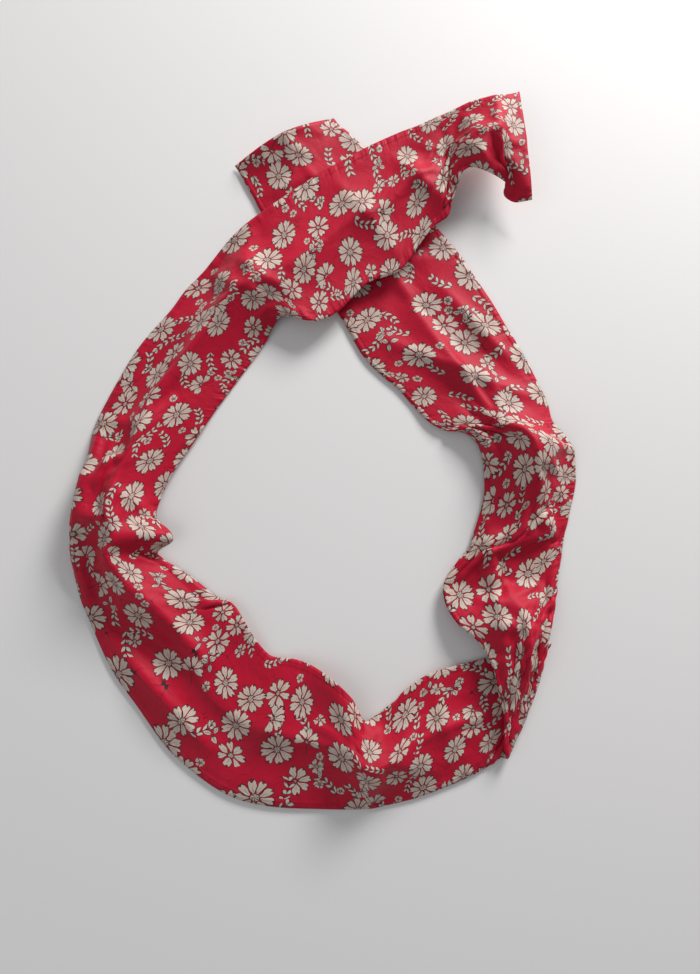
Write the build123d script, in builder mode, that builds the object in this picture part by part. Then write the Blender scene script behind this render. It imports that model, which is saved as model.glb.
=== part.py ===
from build123d import *
from copy import copy
from math import atan2, ceil, cos, sin
import os

# Wired cotton headband: a flat sewn tube of printed lawn with a coated steel wire inside.
# It lies on a table as an open loop with its two tails crossed. All lengths are in mm.
# The frame has +Z up, +Y towards the crossed tails, and the origin under the middle of the
# whole headband, at table height.

cloth_thick = 0.5  # one pressed panel with its turned-in allowance
channel_gap = 3.6  # between the panels where the wire runs
edge_gap = 1.3  # between the panels at a long seam
seam_dia = 0.5  # two threads and the seam line
seam_inset = 1.5  # seam line in from the folded edge
end_seam_inset = 0.4  # seam line in from the end of a tail
end_seam_start = 3.0  # from the folded edge, clear of the long seam
core_dia = 1.0  # bendable steel wire
coat_bore = 1.2
coat_dia = 2.2  # plastic coat that keeps the wire from cutting the cloth
tape_dia = 2.6  # tape wound on the bare wire end
tape_length = 4.0
tape_space = 0.3  # from the tape to the end of the coat
steps_between = 3  # sections drawn from one station to the next
least_rise = 0.4  # arch of the flattest stretch
longest_sweep = 250.0  # a wire is drawn in lengths no longer than this
wire_height = cloth_thick + channel_gap / 2

# A station is one cross-section of the band: (edge A), (edge B), height of the edges, rise of
# the arch between them. Edge A is the outer edge of the loop. It turns to the inner side at the
# corner fold, where the band flips over.
loop_stations = [
    ((44, 154), (67, 103), 8.0, 3.0),
    ((17, 137), (43, 87), 8.0, 3.0),
    ((-2, 127), (26, 75), 7.5, 3.0),
    ((-31, 107), (4, 58), 7.5, 3.0),
    ((-57, 78), (-20, 53), 7.0, 12.0),
    ((-72, 60), (-29, 44), 4.0, 14.0),
    ((-88, 43), (-39, 30), 1.0, 14.0),
    ((-103, 14), (-50, 14), 0.0, 12.0),
    ((-109, -7), (-64, -7), 0.0, 17.0),
    ((-114, -36), (-76, -39), 0.0, 19.0),
    ((-115, -51), (-77, -52), 0.0, 19.0),
    ((-112, -68), (-67, -61), 0.0, 14.0),
    ((-105, -85), (-50, -71), 0.0, 9.0),
    ((-83, -121), (-39, -80), 0.0, 3.0),
    ((-56, -150), (-27, -97), 0.0, 1.0),
    ((-24, -162), (-11, -104), 0.0, 1.0),
    ((-1, -163), (0, -105), 0.0, 4.0),
    ((20, -163), (18, -119), 0.0, 12.0),
    ((41, -159), (34, -113), 0.0, 7.0),
    ((69, -147), (50, -104), 0.0, 2.6),
    ((79, -143), (100, -91), 0.0, 0.6),
]
right_arm_stations = [
    ((79, -141), (100, -90), 6.5, 0.6),
    ((78, -126), (101, -86), 6.5, 2.4),
    ((76, -110), (102, -81), 6.5, 6.0),
    ((63, -89), (105, -66), 5.0, 8.0),
    ((52, -67), (108, -47), 1.0, 4.0),
    ((64, -49), (111, -35), 0.0, 12.0),
    ((72, -25), (114, -25), 0.0, 18.0),
    ((70, -7), (115, -14), 0.0, 16.0),
    ((66, 0), (112, -6), 0.0, 14.0),
    ((58, 6), (107, 4), 0.0, 11.0),
    ((42, 16), (99, 21), 0.0, 5.5),
    ((27, 31), (81, 56), 0.0, 1.0),
    ((8, 59), (60, 88), 0.0, 1.0),
    ((-12, 83), (40, 113), 0.0, 1.0),
    ((-33, 112), (16, 143), 0.0, 1.0),
]
tail_over_stations = [
    ((46, 155), (69, 104), 8.0, 3.0),
    ((61, 159), (78, 111), 9.0, 8.0),
    ((75, 162), (85, 118), 10.0, 11.0),
    ((83, 163), (90, 114), 11.0, 8.0),
    ((90, 163), (95, 109), 12.0, 6.0),
]
tail_under_stations = [
    ((-35, 115), (14, 146), 0.0, 1.0),
    ((-38, 120), (11, 151), 0.0, 2.0),
    ((-40, 126), (7, 155), 0.0, 4.0),
    ((-42, 134), (2, 159), 0.0, 8.0),
]


class Section:
    """One cross-section of the band: its upright plane and the arch of its lower face."""

    def __init__(self, edge_a, edge_b, base, rise):
        across = Vector(edge_b[0] - edge_a[0], edge_b[1] - edge_a[1], 0)
        middle = Vector((edge_a[0] + edge_b[0]) / 2, (edge_a[1] + edge_b[1]) / 2, base)
        self.plane = Plane(origin=middle, x_dir=across, z_dir=across.cross(Vector(0, 0, 1)))
        half = across.length / 2
        self.rise = rise
        self.radius = (half**2 + rise**2) / (2 * rise)
        self.spread = atan2(half, self.radius - rise)

    def at(self, out, inset=0.0, side=1):
        """Point at a distance out from the lower face, and inset from one edge along it."""
        angle = side * (self.spread - inset / self.radius)
        reach = self.radius + out
        return (reach * sin(angle), self.rise - self.radius + reach * cos(angle))

    def towards(self, other):
        """1 or -1, the way along the plane's normal to another section."""
        along = (other.plane.origin - self.plane.origin).dot(self.plane.z_dir)
        return 1 if along > 0 else -1

    def moved(self, distance):
        """The same section further along its plane's normal."""
        other = copy(self)
        other.plane = self.plane.offset(distance)
        return other

    def crown(self, out):
        """Point over the middle of the band."""
        return (0, self.rise + out)


def middle_of(station):
    """Point under the crown of a station, between its edges."""
    (ax, ay), (bx, by), base, _ = station
    return Vector((ax + bx) / 2, (ay + by) / 2, base)


def run_lengths(stations):
    """How far along the band each station lies. Every guide line is paced by it."""
    lengths = [0.0]
    for before, after in zip(stations[:-1], stations[1:]):
        lengths.append(lengths[-1] + (middle_of(after) - middle_of(before)).length)
    return lengths


def sections_along(stations):
    """Sections at the stations and between them, on smooth guide lines through the stations."""
    lengths = run_lengths(stations)
    guides = []
    for points in (
        [Vector(*edge_a, base) for edge_a, _, base, _ in stations],
        [Vector(*edge_b, base) for _, edge_b, base, _ in stations],
        [middle_of(station) + Vector(0, 0, station[3]) for station in stations],
    ):
        guides.append(Edge.make_spline(points, parameters=lengths).geom_adaptor())
    sections = []
    for start, end in zip(lengths[:-1], lengths[1:]):
        for step in range(steps_between):
            reach = start + (end - start) * step / steps_between
            edge_a, edge_b, crown = (Vector(guide.Value(reach)) for guide in guides)
            base = max(edge_a.Z, 0.0)
            rise = max(crown.Z - base, least_rise)
            sections.append(Section((edge_a.X, edge_a.Y), (edge_b.X, edge_b.Y), base, rise))
    sections.append(Section(*stations[-1]))
    return sections


loop_sections = sections_along(loop_stations)
right_arm_sections = sections_along(right_arm_stations)
tail_over_sections = sections_along(tail_over_stations)
tail_under_sections = sections_along(tail_under_stations)

seam_out = cloth_thick + edge_gap / 2
upper_edge = cloth_thick + edge_gap
upper_crown = cloth_thick + channel_gap


def draw_panel(section, edge_out, crown_out):
    """Outline of one cloth panel, as thick as the cloth, on the section's plane."""
    with BuildSketch(section.plane) as outline:
        with BuildLine():
            inner = ThreePointArc(
                section.at(edge_out, side=-1),
                section.crown(crown_out),
                section.at(edge_out),
            )
            outer = ThreePointArc(
                section.at(edge_out + cloth_thick, side=-1),
                section.crown(crown_out + cloth_thick),
                section.at(edge_out + cloth_thick),
            )
            Line(inner @ 0, outer @ 0)
            Line(inner @ 1, outer @ 1)
        make_face()
    return outline.sketch


def route_along(stations, out, inset=None, side=1):
    """Smooth route at the crown, or at an inset from one edge, paced like the guide lines."""
    points = []
    for station in stations:
        section = Section(*station)
        point = section.crown(out) if inset is None else section.at(out, inset, side)
        points.append(section.plane.from_local_coords(Vector(*point, 0)))
    return Edge.make_spline(points, parameters=run_lengths(stations))


def disc_at_start(route, diameter):
    """Round cross-section of a thread, wire or coat at the start of its route."""
    with BuildSketch(Plane(origin=route @ 0, z_dir=route % 0)) as outline:
        Circle(diameter / 2)
    return outline.sketch


def skin_along(route, diameter):
    """Round wall along a route, drawn in lengths, and the flat faces at its two ends."""
    count = ceil(route.length / longest_sweep)
    walls, flats = [], ShapeList()
    for number in range(count):
        length = route.trim(number / count, (number + 1) / count)
        run = sweep(sections=disc_at_start(length, diameter), path=length)
        flats.extend(run.faces().filter_by(GeomType.PLANE))
        walls.extend(face for face in run.faces() if face.geom_type != GeomType.PLANE)
    ends = [flats.sort_by_distance(end)[0] for end in (route @ 0, route @ 1)]
    return walls, ends


def rod_along(route, diameter):
    """Solid round rod along a route."""
    walls, ends = skin_along(route, diameter)
    return Solid(Shell(walls + ends))


def sleeve_along(route, diameter, bore):
    """Closed sleeve along a route: its outer wall, its bore and a ring at each end."""
    walls, outer_ends = skin_along(route, diameter)
    bore_walls, bore_ends = skin_along(route, bore)
    rings = []
    for outer_end, bore_end in zip(outer_ends, bore_ends):
        rings.append(Face(outer_end.outer_wire(), [bore_end.outer_wire()]))
    return Solid(Shell(walls + bore_walls + rings))


def keep(part, name):
    part.part.label = name
    export_step(part.part, f"parts/{name}.step")


os.makedirs("parts", exist_ok=True)

# Cloth panels and their two long seams, one set for each stretch between bends.
# The face that is up on the loop is down on the right arm, after the corner fold.
stretches = {
    "loop": (loop_stations, loop_sections, "back", "front"),
    "right_arm": (right_arm_stations, right_arm_sections, "front", "back"),
    "tail_over": (tail_over_stations, tail_over_sections, "back", "front"),
    "tail_under": (tail_under_stations, tail_under_sections, "front", "back"),
}
for stretch, (stations, sections, lower_name, upper_name) in stretches.items():
    with BuildPart() as lower_panel:
        loft([draw_panel(section, 0, 0) for section in sections], ruled=True)
    keep(lower_panel, f"{lower_name}_panel_{stretch}")

    with BuildPart() as upper_panel:
        loft([draw_panel(section, upper_edge, upper_crown) for section in sections], ruled=True)
    keep(upper_panel, f"{upper_name}_panel_{stretch}")

    for seam, side in (("a", -1), ("b", 1)):
        seam_route = route_along(stations, seam_out, seam_inset, side)
        with BuildPart() as long_seam:
            sweep(sections=disc_at_start(seam_route, seam_dia), path=seam_route)
        keep(long_seam, f"long_seam_{seam}_{stretch}")

# Steel wire in its plastic coat. In a tail the wire stops short of the cloth, the coat stops
# short of the wire, and tape covers the bare end.
for stretch, (stations, _, _, _) in stretches.items():
    in_tail = stretch.startswith("tail")
    core_route = route_along(stations[:-1] if in_tail else stations, wire_height)
    core = rod_along(core_route, core_dia)
    with BuildPart() as wire_core:
        add(core)
    keep(wire_core, f"wire_core_{stretch}")

    coat_route = core_route
    if in_tail:
        tape_start = 1 - tape_length / core_route.length
        coat_route = core_route.trim(0, tape_start - tape_space / core_route.length)
        tape_route = core_route.trim(tape_start, 1)
        tape = sleeve_along(tape_route, tape_dia, coat_bore)
        with BuildPart() as end_tape:
            add(tape)
        keep(end_tape, f"wire_end_tape_{stretch}")

    coat = sleeve_along(coat_route, coat_dia, coat_bore)
    with BuildPart() as wire_coat:
        add(coat)
    keep(wire_coat, f"wire_coat_{stretch}")

# The seam that closes the tube at the end of each tail.
for tail, sections in (("tail_over", tail_over_sections), ("tail_under", tail_under_sections)):
    last = sections[-1]
    seam_plane = last.moved(end_seam_inset * last.towards(sections[-2])).plane
    arch = Edge.make_three_point_arc(
        seam_plane.from_local_coords(Vector(*last.at(seam_out, end_seam_start, -1), 0)),
        seam_plane.from_local_coords(Vector(*last.crown(wire_height), 0)),
        seam_plane.from_local_coords(Vector(*last.at(seam_out, end_seam_start, 1), 0)),
    )
    with BuildPart() as end_seam:
        sweep(sections=disc_at_start(arch, seam_dia), path=arch)
    keep(end_seam, f"end_seam_{tail}")
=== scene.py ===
"""Wired cotton headband, laid as an open loop with its two tails crossed.

The band is a flat sewn tube of printed cotton lawn. It is built from listed stations along its
length, settled by a cloth simulation, creased along its sharper fold lines, thickened into two
layers with folded, stitched edges, and printed with a procedural floral pattern that lies on the
cloth's own flat cut.
"""

import math

import bpy
import numpy as np
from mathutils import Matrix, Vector


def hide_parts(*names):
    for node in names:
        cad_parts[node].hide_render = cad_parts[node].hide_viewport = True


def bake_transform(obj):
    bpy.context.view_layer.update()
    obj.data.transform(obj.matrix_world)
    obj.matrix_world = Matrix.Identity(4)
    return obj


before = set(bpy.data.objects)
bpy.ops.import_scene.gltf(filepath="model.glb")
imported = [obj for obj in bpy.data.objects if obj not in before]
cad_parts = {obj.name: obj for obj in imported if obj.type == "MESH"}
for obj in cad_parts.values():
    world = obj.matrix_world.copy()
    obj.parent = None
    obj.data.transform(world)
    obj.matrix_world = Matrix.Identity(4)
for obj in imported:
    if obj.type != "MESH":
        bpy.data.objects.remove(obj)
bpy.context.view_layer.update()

MM = 0.001
BAND_WIDTH = 0.060
HALF = BAND_WIDTH / 2
SEAM_INSET = 2.6  # mm from the folded edge to the stitching
FOLDED_HALF = 0.00018  # half the band's thickness at a folded edge
BODY_HALF = 0.00055  # what is added to it away from the edge
THICKENS_OVER = 0.0012  # the distance from the edge over which it is added
STITCH_LINE = 0.003  # from the edge to the middle of the pressed seam line
STITCH_REACH = 0.0009
LONG_STITCH_DIP = 0.00022  # how far the stitches press each layer in
END_STITCH_DIP = 0.00018
BACK_PRINT_SHIFT = 0.3  # the back panel is cut from another place of the same cloth

# ---------------------------------------------------------------- shape of the band, in mm
# Each station: outer edge (x, y, z), inner edge (x, y, z), crown height above the straight line
# between them, and where across the band the crown lies (0 outer edge, 1 inner edge).
LOOP = [
    ((90, 162, 13), (95, 110, 11), 3, 0.5),
    ((85, 160, 14), (87, 110, 8), 5, 0.5),
    ((79, 159, 15), (83, 116, 5), 9, 0.5),
    ((74, 158, 15), (84, 120, 7), 11, 0.55),
    ((66, 157, 13), (73, 122, 15), 6, 0.6),
    ((57, 154, 11), (64, 122, 17), -3, 0.5),
    ((49, 151, 10), (61, 114, 13), -3, 0.5),
    ((42, 148, 9), (57, 102, 10), 1, 0.5),
    ((36, 146, 8), (50, 98, 9), 3, 0.5),
    ((27, 142, 8), (42, 88, 8), 3, 0.5),
    ((17, 137, 8), (34, 77, 8), 3, 0.5),
    ((-2, 126, 8), (19, 71, 8), 3, 0.5),
    ((-21, 113, 8), (6, 58, 8), 4, 0.5),
    ((-31, 106, 7), (-2, 53, 9), 5, 0.5),
    ((-44, 96, 4), (-8, 53, 9), 5, 0.4),
    ((-58, 79, 2), (-20, 57, 5), 13, 0.45),
    ((-66, 71, 1), (-25, 52, 3), 13, 0.5),
    ((-73, 61, 1), (-29, 45, 1), 12, 0.55),
    ((-88, 43, 1), (-39, 30, 1), 11, 0.5),
    ((-98, 25, 1), (-46, 20, 1), 9, 0.45),
    ((-103, 14, 1), (-51, 13, 1), 9, 0.4),
    ((-107, 4, 1), (-57, 3, 2), 13, 0.35),
    ((-109, -7, 1), (-64, -7, 2), 16, 0.3),
    ((-112, -18, 1), (-70, -17, 3), 17, 0.28),
    ((-113, -30, 1), (-76, -31, 3), 17, 0.3),
    ((-114, -37, 1), (-76, -37, 4), 17, 0.3),
    ((-115, -43, 1), (-69, -43, 8), 14, 0.32),
    ((-115, -47, 1), (-68, -47, 7), 14, 0.33),
    ((-115, -53, 1), (-76, -52, 2), 14, 0.35),
    ((-113, -63, 1), (-70, -57, 1), 13, 0.38),
    ((-110, -73, 1), (-62, -62, 1), 11, 0.4),
    ((-105, -85, 1), (-50, -71, 1), 7, 0.5),
    ((-95, -105, 1), (-41, -75, 3), 3, 0.5),
    ((-83, -121, 1), (-36, -81, 5), 3, 0.6),
    ((-70, -138, 1), (-31, -90, 4), 2, 0.5),
    ((-56, -150, 1), (-24, -98, 2), 2, 0.5),
    ((-41, -159, 1), (-15, -99, 3), 3, 0.6),
    ((-24, -163, 1), (-7, -101, 5), 3, 0.6),
    ((-2, -164, 1), (2, -106, 8), 3, 0.6),
    ((12, -164, 1), (11, -114, 9), 6, 0.5),
    ((22, -163, 1), (17, -126, 3), 12, 0.5),
    ((33, -161, 1), (27, -121, 1), 11, 0.5),
    ((41, -159, 1), (36, -112, 3), 6, 0.5),
    ((52, -155, 1), (46, -105, 4), 3, 0.5),
    ((62, -151, 1), (62, -101, 2), 2, 0.5),
    ((72, -146, 1), (84, -96, 1), 1, 0.5),
    ((79, -143, 1), (100, -91, 1), 0.3, 0.5),
]
ARM = [
    ((79, -143, 1), (100, -91, 1), 0.3, 0.5),
    ((81, -143, 2), (101, -92, 2), 0.2, 0.5),
    ((80, -143, 4), (101, -91, 4), 0.2, 0.5),
    ((78, -140, 5), (99, -90, 5), 0.3, 0.5),
    ((77, -127, 7), (100, -85, 5), 2, 0.5),
    ((75, -117, 8), (101, -81, 5), 7, 0.5),
    ((73, -105, 9), (103, -73, 4), 9, 0.5),
    ((68, -93, 8), (104, -66, 2), 8, 0.5),
    ((59, -85, 7), (106, -57, 1), 4, 0.6),
    ((53, -76, 5), (107, -51, 1), -2, 0.45),
    ((52, -66, 4), (108, -45, 1), -3, 0.4),
    ((57, -58, 3), (110, -40, 1), 5, 0.7),
    ((64, -49, 2), (111, -34, 1), 9, 0.7),
    ((69, -36, 2), (113, -26, 1), 8, 0.6),
    ((72, -25, 2), (114, -20, 1), 12, 0.5),
    ((72, -13, 2), (114, -14, 2), 17, 0.5),
    ((70, -4, 2), (113, -5, 3), 18, 0.5),
    ((64, 2, 2), (109, 2, 3), 16, 0.5),
    ((55, 3, 2), (104, 8, 2), 10, 0.55),
    ((47, 7, 2), (102, 17, 1), 6, 0.6),
    ((39, 16, 1), (97, 28, 1), 5, 0.7),
    ((33, 23, 1), (91, 41, 1), 4, 0.7),
    ((25, 30, 1), (84, 53, 1), 4, 0.65),
    ((18, 37, 1), (78, 64, 1), 4, 0.6),
    ((12, 47, 1), (71, 75, 1), 3, 0.6),
    ((6, 58, 1), (62, 89, 1), 2, 0.6),
    ((-12, 83, 1), (42, 113, 1), 1, 0.5),
    ((-32, 110, 1), (18, 141, 1), 1, 0.5),
    ((-35, 116, 1), (13, 146, 1), 2, 0.5),
    ((-38, 121, 1), (9, 150, 1), 4, 0.5),
    ((-41, 127, 1), (6, 152, 1), 7, 0.5),
    ((-44, 132, 1), (3, 156, 1), 9, 0.5),
]


# Fold lines that run across the cloth: start, end, height (below zero for a hollow) and the
# distance over which the fold fades to each side.
LOOP_FOLDS = [
    ((-84, -66), (-52, -100), 5.0, 4.0),
    ((-98, -76), (-58, -108), -4.0, 6.0),
    ((-96, -90), (-50, -138), 5.0, 4.5),
    ((-98, 4), (-95, -70), 3.0, 3.0),
    ((-104, 9), (-88, 6), 3.0, 3.5),
    ((-92, -25), (-70, -40), 3.0, 3.0),
    ((-39, -74), (-52, -104), 3.0, 3.5),
    ((-12, -104), (-30, -138), 2.5, 5.0),
    ((6, -112), (16, -150), 3.0, 4.0),
    ((47, -108), (56, -140), 2.0, 5.0),
    ((32, 132), (60, 104), 3.0, 4.0),
    ((2, 123), (34, 84), 2.5, 5.0),
    ((60, 138), (84, 114), 3.5, 4.0),
    ((-50, 88), (-14, 64), 3.0, 4.0),
]
ARM_FOLDS = [
    ((53, 72), (98, 22), 3.5, 4.0),
    ((34, 68), (82, 36), -2.5, 4.5),
    ((27, 46), (100, 16), 4.0, 4.5),
    ((70, -20), (80, -112), 3.0, 3.0),
    ((56, -62), (86, -40), 2.5, 3.5),
    ((20, 84), (52, 86), 2.0, 5.0),
    ((-30, 116), (6, 132), 2.5, 5.0),
]


def smooth_along(values, knots, at):
    """Catmull-Rom curve through the values at the knots, read at the given places."""
    values = np.asarray(values, float)
    index = np.clip(np.searchsorted(knots, at, side="right") - 1, 0, len(knots) - 2)
    span = knots[index + 1] - knots[index]
    t = ((at - knots[index]) / span)[:, None]
    slope = np.empty_like(values)
    slope[1:-1] = (values[2:] - values[:-2]) / (knots[2:] - knots[:-2])[:, None]
    slope[0] = (values[1] - values[0]) / (knots[1] - knots[0])
    slope[-1] = (values[-1] - values[-2]) / (knots[-1] - knots[-2])
    a, b = values[index], values[index + 1]
    m, n = slope[index] * span[:, None], slope[index + 1] * span[:, None]
    return (
        a * (2 * t**3 - 3 * t**2 + 1)
        + m * (t**3 - 2 * t**2 + t)
        + b * (3 * t**2 - 2 * t**3)
        + n * (t**3 - t**2)
    )


def band_surface(stations, spacing):
    """Grid of points on the band's mid-surface, and how far along the band each row lies. Between
    its edges each row is straight but for the crown, a half wave that leans to one side."""
    table = np.array([[*a, *b, rise, lean] for a, b, rise, lean in stations], float)
    table[:, :7] *= MM
    steps_a = np.linalg.norm(np.diff(table[:, 0:3], axis=0), axis=1)
    steps_b = np.linalg.norm(np.diff(table[:, 3:6], axis=0), axis=1)
    knots = np.concatenate([[0], np.cumsum(0.5 * (steps_a + steps_b))])
    rows = int(round(knots[-1] / spacing)) + 1
    columns = int(round(BAND_WIDTH / spacing)) + 1
    at = np.linspace(0, knots[-1], rows)
    fine = smooth_along(table, knots, at)
    across = np.linspace(0, 1, columns)[None, :, None]
    lean = np.clip(fine[:, 7], 0.15, 0.85)[:, None]
    power = math.log(0.5) / np.log(lean)
    crown = np.sin(math.pi * across[:, :, 0] ** power) * fine[:, 6][:, None]
    points = fine[:, None, 0:3] * (1 - across) + fine[:, None, 3:6] * across
    points[:, :, 2] += crown
    return points, at


def stitch_line(from_edge):
    """1 on the line of stitches, falling to 0 beside it."""
    return np.exp(-(((from_edge - STITCH_LINE) / STITCH_REACH) ** 2))


def closed_band(name, mid, lengths, u_start, side_up, end_first=False, end_last=False):
    """Two cloth layers round a mid-surface, closed all round, with thin folded long edges and a
    pressed seam line just inside them. The UV map holds the flat cut in metres."""
    rows, columns = mid.shape[:2]
    along = np.gradient(mid, axis=0)
    across = np.gradient(mid, axis=1)
    normal = np.cross(across, along)
    normal /= np.linalg.norm(normal, axis=2, keepdims=True) + 1e-12
    if normal[:, :, 2].mean() < 0:
        normal = -normal
    v = np.linspace(0, BAND_WIDTH, columns)
    edge = np.minimum(v, BAND_WIDTH - v)
    gap = FOLDED_HALF + BODY_HALF * (1 - np.exp(-edge / THICKENS_OVER))
    gap = gap - LONG_STITCH_DIP * stitch_line(edge)
    gap = np.repeat(gap[None, :], rows, axis=0)
    for closed, start in ((end_first, 0), (end_last, rows - 1)):
        if closed:
            away = np.abs(lengths - lengths[start])[:, None]
            gap *= 0.3 + 0.7 * (1 - np.exp(-away / THICKENS_OVER))
            gap -= END_STITCH_DIP * stitch_line(away)
    upper = mid + normal * gap[:, :, None]
    lower = mid - normal * gap[:, :, None]
    points = np.concatenate([upper.reshape(-1, 3), lower.reshape(-1, 3)])
    count = rows * columns
    faces, uvs = [], []
    flat_u, flat_v = lengths + u_start, v
    upper_shift, lower_shift = (0.0, BACK_PRINT_SHIFT) if side_up else (BACK_PRINT_SHIFT, 0.0)

    def face(corners, shift):
        faces.append([c[2] for c in corners])
        uvs.extend((flat_u[c[0]], flat_v[c[1]] + shift) for c in corners)

    for i in range(rows - 1):
        for j in range(columns - 1):
            ring = [(i, j), (i, j + 1), (i + 1, j + 1), (i + 1, j)]
            face([(a, b, a * columns + b) for a, b in ring], upper_shift)
            face([(a, b, count + a * columns + b) for a, b in reversed(ring)], lower_shift)
    for i in range(rows - 1):
        for j, flip in ((0, False), (columns - 1, True)):
            ring = [(i, j, i * columns + j), (i + 1, j, (i + 1) * columns + j)]
            ring += [(i + 1, j, count + (i + 1) * columns + j), (i, j, count + i * columns + j)]
            face(ring[::-1] if flip else ring, upper_shift)
    for i, flip in ((0, True), (rows - 1, False)):
        for j in range(columns - 1):
            ring = [(i, j, i * columns + j), (i, j + 1, i * columns + j + 1)]
            ring += [(i, j + 1, count + i * columns + j + 1), (i, j, count + i * columns + j)]
            face(ring[::-1] if flip else ring, upper_shift)
    mesh = bpy.data.meshes.new(name)
    mesh.from_pydata(points.tolist(), [], faces)
    uv = mesh.uv_layers.new(name="flat")
    uv.data.foreach_set("uv", np.array(uvs).ravel())
    obj = bpy.data.objects.new(name, mesh)
    bpy.context.collection.objects.link(obj)
    mesh.polygons.foreach_set("use_smooth", [True] * len(mesh.polygons))
    return obj


# ---------------------------------------------------------------- cloth simulation
SIM_SPACING = 0.003
SIM_SCALE = 10.0  # the solver is steadier on a larger copy
SIM_FRAMES = 40
REST_HOLD = 0.10  # how firmly each part of the cloth keeps to where it was laid
EDGE_LINE_HOLD = 0.7
WIRE_HOLD = 0.9
END_HOLD = 0.6
WIRE_REACH = 0.0025  # half the width of the strip that the wire holds
FINE = 0.0015  # spacing of the finished cloth's grid
EDGE_HOLD = 0.006  # folds die out this close to the long edges
FOLD_ROUND = 0.0008  # radius of a fold's crest
LEAST_HEIGHT = 0.0010  # of the mid-surface over the table


def settle(grid):
    """Lets the cloth fall round its wire: the flat cut sets its rest shape, the wire line is held,
    the edges are held loosely, and it lands on the table and on itself."""
    rows, columns = grid.shape[:2]
    steps = np.linalg.norm(np.diff(grid, axis=0), axis=2)
    # The flat cut is about as long as the longer edge, so the shorter one gathers.
    step = np.minimum(0.3 * steps.mean(axis=1) + 0.7 * steps.max(axis=1), 1.3 * steps.mean(axis=1))
    along = np.concatenate([[0], np.cumsum(step)])
    across = np.linspace(-HALF, HALF, columns)
    faces = []
    for i in range(rows - 1):
        for j in range(columns - 1):
            k = i * columns + j
            faces.append((k, k + 1, k + columns + 1, k + columns))
    mesh = bpy.data.meshes.new("cloth_sim")
    mesh.from_pydata((grid.reshape(-1, 3) * SIM_SCALE).tolist(), [], faces)
    obj = bpy.data.objects.new("cloth_sim", mesh)
    bpy.context.collection.objects.link(obj)
    obj.shape_key_add(name="laid")
    flat_key = obj.shape_key_add(name="flat")
    flat = np.zeros((rows, columns, 3))
    flat[:, :, 0] = along[:, None]
    flat[:, :, 1] = across[None, :]
    flat_key.data.foreach_set("co", (flat * SIM_SCALE).ravel())
    flat_key.value = 0.0
    hold = obj.vertex_groups.new(name="hold")
    weights = np.full((rows, columns), REST_HOLD)
    weights[:, [0, -1]] = EDGE_LINE_HOLD
    weights[:, np.abs(across) < WIRE_REACH] = WIRE_HOLD
    weights[[0, -1], :] = END_HOLD
    for k, weight in enumerate(weights.ravel()):
        hold.add([k], float(weight), "REPLACE")
    cloth = obj.modifiers.new("cloth", "CLOTH")
    settings = cloth.settings
    settings.quality = 7
    settings.mass = 0.25
    settings.tension_stiffness = 25
    settings.compression_stiffness = 25
    settings.shear_stiffness = 8
    settings.bending_stiffness = 0.8
    settings.air_damping = 1.5
    settings.vertex_group_mass = "hold"
    settings.pin_stiffness = 1.0
    settings.rest_shape_key = flat_key
    touch = cloth.collision_settings
    touch.distance_min = 0.007
    touch.use_self_collision = True
    touch.self_distance_min = 0.008
    touch.self_friction = 5
    cloth.point_cache.frame_start = 1
    cloth.point_cache.frame_end = SIM_FRAMES
    bed_mesh = bpy.data.meshes.new("sim_table")
    bed_mesh.from_pydata([(-3, -3, 0), (3, -3, 0), (3, 3, 0), (-3, 3, 0)], [], [(0, 1, 2, 3)])
    bed = bpy.data.objects.new("sim_table", bed_mesh)
    bpy.context.collection.objects.link(bed)
    bed.modifiers.new("collision", "COLLISION")
    bed.collision.thickness_outer = 0.005
    scene = bpy.context.scene
    scene.frame_start, scene.frame_end = 1, SIM_FRAMES
    for number in range(1, SIM_FRAMES + 1):
        scene.frame_set(number)
    result = obj.evaluated_get(bpy.context.evaluated_depsgraph_get()).to_mesh()
    places = np.empty(len(result.vertices) * 3)
    result.vertices.foreach_get("co", places)
    settled = places.reshape(rows, columns, 3) / SIM_SCALE
    bpy.data.objects.remove(obj)
    bpy.data.objects.remove(bed)
    scene.frame_set(1)
    return settled


def resample(grid, rows, columns):
    """The same surface on a finer grid, by smooth curves along and then across."""
    old_rows, old_columns = grid.shape[:2]
    knots = np.linspace(0, 1, old_rows)
    fine = smooth_along(grid.reshape(old_rows, -1), knots, np.linspace(0, 1, rows))
    fine = fine.reshape(rows, old_columns, 3).transpose(1, 0, 2)
    knots = np.linspace(0, 1, old_columns)
    fine = smooth_along(fine.reshape(old_columns, -1), knots, np.linspace(0, 1, columns))
    return fine.reshape(columns, rows, 3).transpose(1, 0, 2)


def fold(mid, folds):
    """Raises or lowers the cloth along the fold lines, most of all at the middle of each. The long
    edges stay where they are, and nothing is pushed into the table."""
    columns = mid.shape[1]
    from_edge = (HALF - np.abs(np.linspace(-HALF, HALF, columns)))[None, :]
    held = 1 - np.exp(-((from_edge / EDGE_HOLD) ** 2))
    lift = np.zeros(mid.shape[:2])
    for start, end, height, fade in folds:
        start, end = np.array(start) * MM, np.array(end) * MM
        line = end - start
        share = np.clip(((mid[:, :, :2] - start) @ line) / (line @ line), 0, 1)
        aside = np.linalg.norm(mid[:, :, :2] - start - share[:, :, None] * line, axis=2)
        crest = np.exp(-(np.sqrt(aside**2 + FOLD_ROUND**2) - FOLD_ROUND) / (fade * MM))
        lift += height * MM * crest * (0.35 + 0.65 * np.sin(math.pi * share))
    folded = mid.copy()
    folded[:, :, 2] = np.maximum(mid[:, :, 2] + lift * held, np.minimum(mid[:, :, 2], LEAST_HEIGHT))
    return folded


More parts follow.
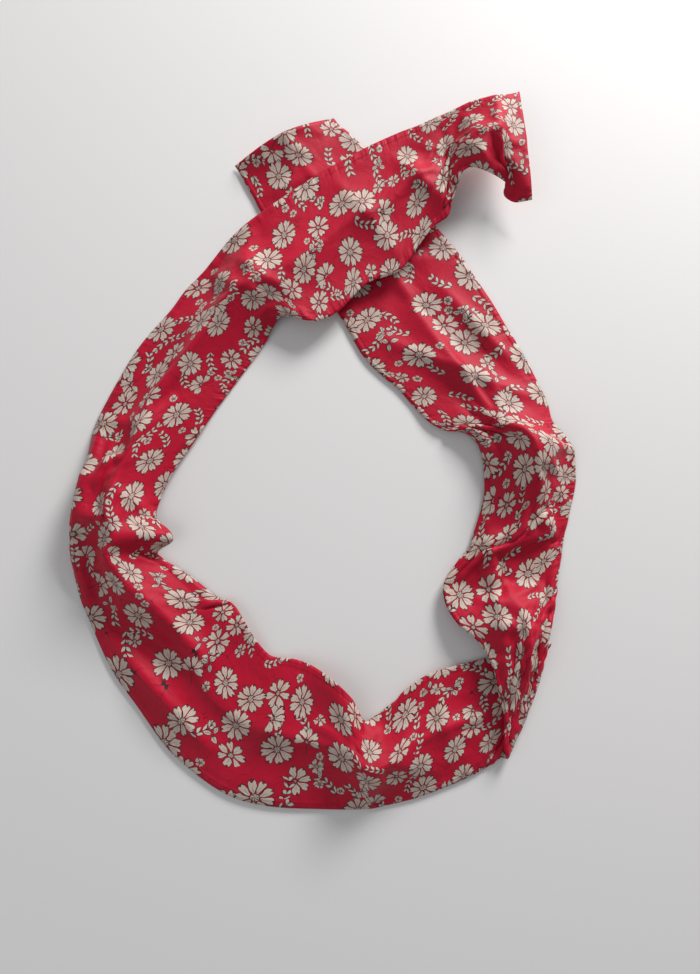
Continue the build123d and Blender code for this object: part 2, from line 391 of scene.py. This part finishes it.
loop_mid, loop_at = band_surface(LOOP, SIM_SPACING)
arm_mid, arm_at = band_surface(ARM, SIM_SPACING)
both_mid = settle(np.concatenate([loop_mid, arm_mid[1:]]))
loop_mid, arm_mid = both_mid[: len(loop_mid)], both_mid[len(loop_mid) - 1 :]
columns = int(round(BAND_WIDTH / FINE)) + 1
loop_mid = resample(loop_mid, 2 * len(loop_mid) - 1, columns)
arm_mid = resample(arm_mid, 2 * len(arm_mid) - 1, columns)
loop_mid = fold(loop_mid, LOOP_FOLDS)
arm_mid = fold(arm_mid, ARM_FOLDS)
loop_at = np.linspace(0, loop_at[-1], len(loop_mid))
arm_at = np.linspace(0, arm_at[-1], len(arm_mid))


# ---------------------------------------------------------------- the printed cotton
GROUND_TONES = (0.42, 0.0010, 0.019, 1), (0.55, 0.0024, 0.032, 1)
PETAL_TONES = (0.50, 0.40, 0.33, 1), (0.64, 0.54, 0.46, 1)
INK = (0.045, 0.008, 0.012, 1)
THREAD_SPACING = 0.42  # mm, drawn wider than life so that it shows
OUTLINE = 0.15  # half-width of the drawn outline, mm


class Num:
    """A number inside a node tree, so that the pattern can be written as plain sums."""

    tree = None

    def __init__(self, socket):
        self.socket = socket

    @staticmethod
    def op(operation, *values):
        node = Num.tree.nodes.new("ShaderNodeMath")
        node.operation = operation
        for i, value in enumerate(values):
            if isinstance(value, Num):
                Num.tree.links.new(value.socket, node.inputs[i])
            else:
                node.inputs[i].default_value = value
        return Num(node.outputs[0])

    def __add__(self, other):
        return Num.op("ADD", self, other)

    def __radd__(self, other):
        return Num.op("ADD", other, self)

    def __sub__(self, other):
        return Num.op("SUBTRACT", self, other)

    def __rsub__(self, other):
        return Num.op("SUBTRACT", other, self)

    def __mul__(self, other):
        return Num.op("MULTIPLY", self, other)

    def __rmul__(self, other):
        return Num.op("MULTIPLY", other, self)

    def __truediv__(self, other):
        return Num.op("DIVIDE", self, other)


def less(a, b):
    return Num.op("LESS_THAN", a, b)


def both(a, b):
    return a * b


def either(a, b):
    return Num.op("MAXIMUM", a, b)


def size_of(x, y):
    return Num.op("SQRT", x * x + y * y)


def make_print():
    """Printed cotton lawn: scattered flowers, leaves and sprigs in cream with dark outlines on a
    crimson ground, with the weave, the seam puckers and the small creases in its bump."""
    mat = bpy.data.materials.new("cotton_print")
    mat.use_nodes = True
    tree = mat.node_tree
    Num.tree = tree
    nodes, links = tree.nodes, tree.links
    shader = nodes["Principled BSDF"]
    flat = nodes.new("ShaderNodeUVMap")
    flat.uv_map = "flat"
    scale = nodes.new("ShaderNodeVectorMath")
    scale.operation = "SCALE"
    scale.inputs["Scale"].default_value = 1000.0
    links.new(flat.outputs[0], scale.inputs[0])
    # A little drift of the drawing keeps the motifs from being exact copies.
    drift = nodes.new("ShaderNodeTexNoise")
    drift.noise_dimensions = "2D"
    drift.inputs["Scale"].default_value = 0.35
    drift.inputs["Detail"].default_value = 1.0
    links.new(scale.outputs[0], drift.inputs["Vector"])
    centred = nodes.new("ShaderNodeVectorMath")
    centred.operation = "SUBTRACT"
    centred.inputs[1].default_value = (0.5, 0.5, 0.5)
    links.new(drift.outputs["Color"], centred.inputs[0])
    pulled = nodes.new("ShaderNodeVectorMath")
    pulled.operation = "MULTIPLY_ADD"
    pulled.inputs[1].default_value = (1.3, 1.3, 0.0)
    links.new(centred.outputs[0], pulled.inputs[0])
    links.new(scale.outputs[0], pulled.inputs[2])
    place = pulled.outputs[0]

    def moved_by(vector, shift):
        """The same place in a drawing that is shifted by so many mm."""
        node = nodes.new("ShaderNodeVectorMath")
        node.operation = "ADD"
        node.inputs[1].default_value = (*shift, 0.0)
        links.new(vector, node.inputs[0])
        return node.outputs[0]

    def cells_at(vector, cell, jitter):
        """The scattered point nearest to a place. Distance counts in cells, not in mm."""
        node = nodes.new("ShaderNodeTexVoronoi")
        node.voronoi_dimensions = "2D"
        node.inputs["Scale"].default_value = 1.0 / cell
        node.inputs["Randomness"].default_value = jitter
        links.new(vector, node.inputs["Vector"])
        return node

    def scatter(layer, radius=0.0, fronts=(), room=1.0):
        """Local x, y in mm round each scattered point, turned at random, a random number, and
        whether the motif may show: it keeps clear of the motifs of the layers in front. Room is
        the share of the two radii that has to lie between them."""
        cell, shift, jitter, *_ = layer
        moved = moved_by(place, shift)
        cells = cells_at(moved, cell, jitter)
        local = nodes.new("ShaderNodeVectorMath")
        local.operation = "SUBTRACT"
        links.new(moved, local.inputs[0])
        links.new(cells.outputs["Position"], local.inputs[1])
        split = nodes.new("ShaderNodeSeparateXYZ")
        links.new(local.outputs[0], split.inputs[0])
        chance = nodes.new("ShaderNodeSeparateColor")
        links.new(cells.outputs["Color"], chance.inputs[0])
        x, y = Num(split.outputs[0]), Num(split.outputs[1])
        turn = Num(chance.outputs[0]) * (2 * math.pi)
        c, s = Num.op("COSINE", turn), Num.op("SINE", turn)
        shown = None
        for front in fronts:
            front_cell, front_shift, front_jitter, front_radius = front
            offset = (front_shift[0] - shift[0], front_shift[1] - shift[1])
            there = cells_at(moved_by(cells.outputs["Position"], offset), front_cell, front_jitter)
            least = (front_radius + radius) * room / front_cell
            apart = less(least, Num(there.outputs["Distance"]))
            shown = apart if shown is None else shown * apart
        return x * c + y * s, y * c - x * s, Num(chance.outputs[1]), shown

    def polar(x, y):
        """Distance from the middle of a motif, and the direction."""
        return size_of(x, y), Num.op("ARCTAN2", y, x)

    def blossom(x, y, petals, radius, notch, core, fullness=0.66):
        """Open flower of separate notched petals, each outlined and veined, round a dotted eye."""
        r, angle = polar(x, y)
        aside = Num.op("PINGPONG", angle, math.pi / petals)
        along, across = r * Num.op("COSINE", aside), r * Num.op("SINE", aside)
        half_width = along * (fullness * math.tan(math.pi / petals)) + radius * 0.012
        shape = Num.op("POWER", (along - radius * 0.62) / (radius * 0.40), 2.0)
        shape = shape + Num.op("POWER", across / half_width, 2.0)
        cut = along - across * 1.3
        body = both(less(shape, 1.0), less(cut, radius - notch))
        on_cut = less(Num.op("ABSOLUTE", cut - (radius - notch)), OUTLINE * 1.3)
        cut_rim = both(on_cut, less(shape, 1.0))
        drawn = 1.0 + (0.62 - along * (0.36 / radius))
        rim = either(both(less(shape, drawn), less(1.0, shape)), cut_rim)
        vein = both(less(across, OUTLINE * 0.45), both(less(along, radius * 0.66), less(core, r)))
        centre = less(r, core)
        dots = less(Num.op("SINE", angle * 7.0) * Num.op("SINE", r * (7.5 / core)), -0.15)
        ring = less(Num.op("ABSOLUTE", r - core), OUTLINE * 0.9)
        ink = either(both(rim, less(core, r)), either(both(centre, dots), either(ring, vein * 0.7)))
        return either(body, centre), ink

    def lens(x, y, half_length, half_width):
        """Below 1 inside a pointed leaf."""
        return Num.op("ABSOLUTE", y) / half_width + Num.op("POWER", x / half_length, 2.0)

    def seen_aslant(y, pick):
        """Flowers face different ways, so some look narrower."""
        return y / (0.76 + 0.24 * pick)

    # Each scattered layer: cell size and shift in mm, jitter, and for those with others behind
    # them, the radius that the others keep clear of.
    daisies = (21.0, (83.0, 29.0), 0.7, 7.0)
    open_flowers = (18.5, (57.0, 5.0), 0.75, 6.0)
    half_open = (16.0, (11.0, 73.0), 0.8, 5.4)
    small_flowers = (11.5, (131.0, 55.0), 0.8, 3.4)
    stars = (7.0, (3.0, 41.0), 0.85)
    sprigs = (12.5, (4.0, 9.0), 0.8)
    leaf_groups = (10.5, (31.0, 17.0), 0.85)

    # The layers, from the back to the front.
    layers = []

    x, y, _, shown = scatter(stars, 1.7, (daisies, open_flowers, half_open, small_flowers), 0.95)
    body, ink = blossom(x, y, 5, 1.8, 0.05, 0.4, 0.75)
    layers.append((body * shown, ink * shown))

    x, y, _, shown = scatter(sprigs, 4.0, (daisies, open_flowers), 0.66)
    bent = y - x * x * 0.05
    side = Num.op("ABSOLUTE", bent)
    base = Num.op("FLOORED_MODULO", x, 2.7)
    out, over = base * 0.80 + side * 0.60, side * 0.80 - base * 0.60
    near = both(less(Num.op("ABSOLUTE", x + 0.2), 5.3), less(side, 2.6))
    leaf = lens(out - 1.5, over, 1.35, 0.62)
    body = both(less(leaf, 1.0), near)
    stem = both(less(side, 0.11), less(Num.op("ABSOLUTE", x), 6.0))
    ink = either(stem, both(less(Num.op("ABSOLUTE", leaf - 1.12), 0.22), near))
    layers.append((body * shown, ink * shown))

    x, y, _, shown = scatter(leaf_groups, 3.6, (daisies, open_flowers, half_open), 0.85)
    r, angle = polar(x, y)
    aside = Num.op("PINGPONG", angle, math.pi / 3)
    along, across = r * Num.op("COSINE", aside), r * Num.op("SINE", aside)
    leaf = lens(along - 2.3, across, 1.75, 0.95)
    stalk = both(less(across, 0.10), less(along, 3.2))
    ribs = both(less(Num.op("SINE", (across * 1.2 - along) * 7.5), -0.80), less(leaf, 0.8))
    ink = either(stalk, either(less(Num.op("ABSOLUTE", leaf - 1.1), 0.16), ribs * 0.6))
    layers.append((less(leaf, 1.0) * shown, ink * shown))

    x, y, pick, shown = scatter(small_flowers, 3.2, (daisies, open_flowers, half_open), 0.92)
    body, ink = blossom(x, seen_aslant(y, pick), 5, 3.4, 0.4, 0.8, 0.62)
    layers.append((body * shown, ink * shown))

    x, y, _, shown = scatter(half_open, 4.6, (daisies, open_flowers), 0.86)
    fan = less(Num.op("ABSOLUTE", Num.op("ARCTAN2", y, x)), math.radians(112.0))
    body, ink = blossom(x, y, 8, 5.8, 0.6, 0.8, 0.74)
    on_stalk = less(Num.op("ABSOLUTE", y + x * x * 0.04), 0.13)
    stalk = both(on_stalk, both(less(x, 0.0), less(-6.0, x)))
    layers.append((body * fan * shown, either(ink * fan, stalk) * shown))

    x, y, pick, shown = scatter(open_flowers, 5.4, (daisies,), 0.90)
    body, ink = blossom(x, seen_aslant(y, pick), 7, 6.0, 0.75, 1.0, 0.66)
    layers.append((body * shown, ink * shown))

    x, y, pick, _ = scatter(daisies)
    layers.append(blossom(x, seen_aslant(y, pick), 9, 7.0, 0.8, 1.5, 0.74))

    cream, ink = layers[0]
    for body, drawn in layers[1:]:
        clear = 1.0 - either(body, drawn)
        cream = either(cream * clear, body)
        ink = either(ink * clear, drawn)

    # Fine curling stems run over the ground between the flowers.
    curl = nodes.new("ShaderNodeTexNoise")
    curl.noise_dimensions = "2D"
    curl.inputs["Scale"].default_value = 0.10
    curl.inputs["Detail"].default_value = 0.0
    links.new(place, curl.inputs["Vector"])
    stems = less(Num.op("ABSOLUTE", Num(curl.outputs["Fac"]) - 0.5), 0.0028)
    ink = either(ink, stems * (1.0 - cream))

    def mix(factor, a, b):
        node = nodes.new("ShaderNodeMix")
        node.data_type = "RGBA"
        links.new(factor.socket, node.inputs[0])
        for socket, value in ((node.inputs[6], a), (node.inputs[7], b)):
            if isinstance(value, tuple):
                socket.default_value = value
            else:
                links.new(value, socket)
        return node.outputs[2]

    patch = nodes.new("ShaderNodeTexNoise")
    patch.inputs["Scale"].default_value = 45.0
    patch.inputs["Detail"].default_value = 3.0
    links.new(flat.outputs[0], patch.inputs["Vector"])
    ground = mix(Num(patch.outputs["Fac"]), *GROUND_TONES)
    petals = mix(Num(patch.outputs["Fac"]), *PETAL_TONES)
    colour = mix(cream, ground, petals)
    colour = mix(ink, colour, INK)
    links.new(colour, shader.inputs["Base Color"])
    shader.inputs["Roughness"].default_value = 0.52
    shader.inputs["Sheen Weight"].default_value = 0.05
    shader.inputs["Sheen Roughness"].default_value = 0.5
    shader.inputs["Specular IOR Level"].default_value = 0.22

    # Plain weave, and the small creases of washed and handled lawn.
    split = nodes.new("ShaderNodeSeparateXYZ")
    links.new(scale.outputs[0], split.inputs[0])
    thread = 2 * math.pi / THREAD_SPACING
    warp = Num.op("SINE", Num(split.outputs[0]) * thread)
    weft = Num.op("SINE", Num(split.outputs[1]) * thread)
    weave = warp * weft
    crumple = nodes.new("ShaderNodeTexNoise")
    crumple.inputs["Scale"].default_value = 70.0
    crumple.inputs["Detail"].default_value = 4.0
    crumple.inputs["Distortion"].default_value = 0.6
    links.new(flat.outputs[0], crumple.inputs["Vector"])
    from_edge = Num.op("PINGPONG", Num(split.outputs[1]), HALF / MM)
    stitched = Num.op("EXPONENT", Num.op("POWER", (from_edge - SEAM_INSET) / 0.55, 2.0) * -1.0)
    pucker = nodes.new("ShaderNodeTexNoise")
    pucker.noise_dimensions = "1D"
    pucker.inputs["Scale"].default_value = 0.32
    pucker.inputs["Detail"].default_value = 2.0
    links.new(split.outputs[0], pucker.inputs["W"])
    near_edge = Num.op("EXPONENT", Num.op("POWER", from_edge / 4.5, 2.0) * -1.0)
    gathered = near_edge * Num(pucker.outputs["Fac"])
    height = weave * 0.00002 + Num(crumple.outputs["Fac"]) * 0.0011
    height = height + gathered * 0.0010 - stitched * 0.00016
    bump = nodes.new("ShaderNodeBump")
    bump.inputs["Strength"].default_value = 0.8
    bump.inputs["Distance"].default_value = 1.0
    links.new(height.socket, bump.inputs["Height"])
    links.new(bump.outputs[0], shader.inputs["Normal"])
    return mat


print_mat = make_print()


def plain(name, colour, roughness):
    mat = bpy.data.materials.new(name)
    mat.use_nodes = True
    shader = mat.node_tree.nodes["Principled BSDF"]
    shader.inputs["Base Color"].default_value = (*colour, 1)
    shader.inputs["Roughness"].default_value = roughness
    return mat


# ---------------------------------------------------------------- pieces
# The arm is cut where the crossing hides it.
CROSSING_Y = 0.101
split_row = int(np.argmin(np.abs(arm_mid[:, arm_mid.shape[1] // 2, 1] - CROSSING_Y)))
fold_u = loop_at[-1]
cloths = {
    "cloth_loop": (loop_mid, loop_at, 0.0, True, True, False),
    "cloth_arm": (arm_mid[: split_row + 1], arm_at[: split_row + 1], fold_u, False, False, False),
    "cloth_tail_under": (arm_mid[split_row:], arm_at[split_row:], fold_u, False, False, True),
}
made = {}
for name, (mid, at, u_start, side_up, first, last) in cloths.items():
    obj = closed_band(name, mid, at, u_start, side_up, first, last)
    obj.data.materials.append(print_mat)
    made[name] = obj


WIRE_RADIUS = 0.0003  # slimmer than the real coat, so that it stays inside the pressed cloth
WIRE_TRIM = 6  # rows at a tail's end that the wire stops short of
ROWS_PER_POINT = 2


def wire_tube(name, mid, trim_start, trim_end, mat):
    """The coated wire inside the band, along its middle, trimmed by whole rows at its ends."""
    line = mid[:, mid.shape[1] // 2]
    line = line[trim_start : len(line) - trim_end : ROWS_PER_POINT]
    curve = bpy.data.curves.new(name, "CURVE")
    curve.dimensions = "3D"
    curve.bevel_depth = WIRE_RADIUS
    curve.bevel_resolution = 2
    spline = curve.splines.new("POLY")
    spline.points.add(len(line) - 1)
    for point, place in zip(spline.points, line):
        point.co = (*place, 1)
    holder = bpy.data.objects.new(name + "_curve", curve)
    bpy.context.collection.objects.link(holder)
    evaluated = holder.evaluated_get(bpy.context.evaluated_depsgraph_get())
    mesh = bpy.data.meshes.new_from_object(evaluated)
    bpy.data.objects.remove(holder)
    obj = bpy.data.objects.new(name, mesh)
    bpy.context.collection.objects.link(obj)
    obj.data.materials.clear()
    obj.data.materials.append(mat)
    return obj


coat_mat = plain("wire_coat", (0.75, 0.75, 0.72), 0.5)
wires = {}
for name, (mid, *_), start, end in (
    ("wire_loop", cloths["cloth_loop"], WIRE_TRIM, 0),
    ("wire_arm", cloths["cloth_arm"], 0, 0),
    ("wire_tail_under", cloths["cloth_tail_under"], 0, WIRE_TRIM),
):
    wires[name] = wire_tube(name, mid, start, end, coat_mat)

# ---------------------------------------------------------------- hiding the CAD panels, seams and wires
all_nodes = sorted(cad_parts)


def nodes_of(ending, *words):
    """The CAD nodes of one body whose names hold any of the words."""
    return [n for n in all_nodes if n.endswith("_" + ending) and any(w in n for w in words)]


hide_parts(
    *nodes_of("loop", "panel", "seam"),
    *nodes_of("tail_over", "panel", "seam"),
)
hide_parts(*nodes_of("right_arm", "panel", "seam"))
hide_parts(*nodes_of("tail_under", "panel", "seam"))
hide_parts(*nodes_of("loop", "wire"), *nodes_of("tail_over", "wire"))
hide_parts(*nodes_of("right_arm", "wire"))
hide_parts(*nodes_of("tail_under", "wire"))

for obj in (made["cloth_loop"], wires["wire_loop"]):
    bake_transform(obj)
for obj in (made["cloth_arm"], wires["wire_arm"]):
    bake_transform(obj)
for obj in (made["cloth_tail_under"], wires["wire_tail_under"]):
    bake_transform(obj)

for name, (_, at, *_) in cloths.items():
    float(at[-1] - at[0])

# ---------------------------------------------------------------- floor, light and camera
floor_mesh = bpy.data.meshes.new("floor")
reach = 1.5
corners = [(-reach, -reach, 0), (reach, -reach, 0), (reach, reach, 0), (-reach, reach, 0)]
floor_mesh.from_pydata(corners, [], [(0, 1, 2, 3)])
floor = bpy.data.objects.new("floor", floor_mesh)
bpy.context.collection.objects.link(floor)
floor.data.materials.append(plain("floor", (0.80, 0.79, 0.77), 0.7))


def soft_light(name, place, target, size, power, colour):
    light = bpy.data.lights.new(name, "AREA")
    light.shape = "RECTANGLE"
    light.size, light.size_y = size
    light.energy = power
    light.color = colour
    obj = bpy.data.objects.new(name, light)
    obj.location = place
    obj.rotation_euler = (Vector(target) - Vector(place)).to_track_quat("-Z", "Y").to_euler()
    bpy.context.collection.objects.link(obj)
    return obj


key = soft_light("key", (0.50, 0.85, 0.42), (0, 0.03, 0), (0.42, 0.32), 14.5, (1.0, 0.98, 0.98))
fill = soft_light("fill", (-0.8, -0.5, 0.9), (0, 0, 0), (1.2, 1.0), 2.5, (1.0, 1.0, 1.0))
world = bpy.data.worlds.new("studio")
world.use_nodes = True
world.node_tree.nodes["Background"].inputs["Color"].default_value = (0.92, 0.94, 1.0, 1)
world.node_tree.nodes["Background"].inputs["Strength"].default_value = 0.30
bpy.context.scene.world = world
bpy.context.scene.view_settings.view_transform = "Standard"

camera_data = bpy.data.cameras.new("camera")
camera_data.sensor_fit = "VERTICAL"
camera_data.sensor_height = 36.0
camera_data.lens = 28.0
camera = bpy.data.objects.new("camera", camera_data)
target = Vector((0.0109, -0.0222, 0.0))
tilt = math.radians(6.0)
distance = 0.347
camera.location = target + Vector((0, -math.sin(tilt), math.cos(tilt))) * distance
camera.rotation_euler = (tilt, 0, 0)
bpy.context.collection.objects.link(camera)
bpy.context.scene.camera = camera
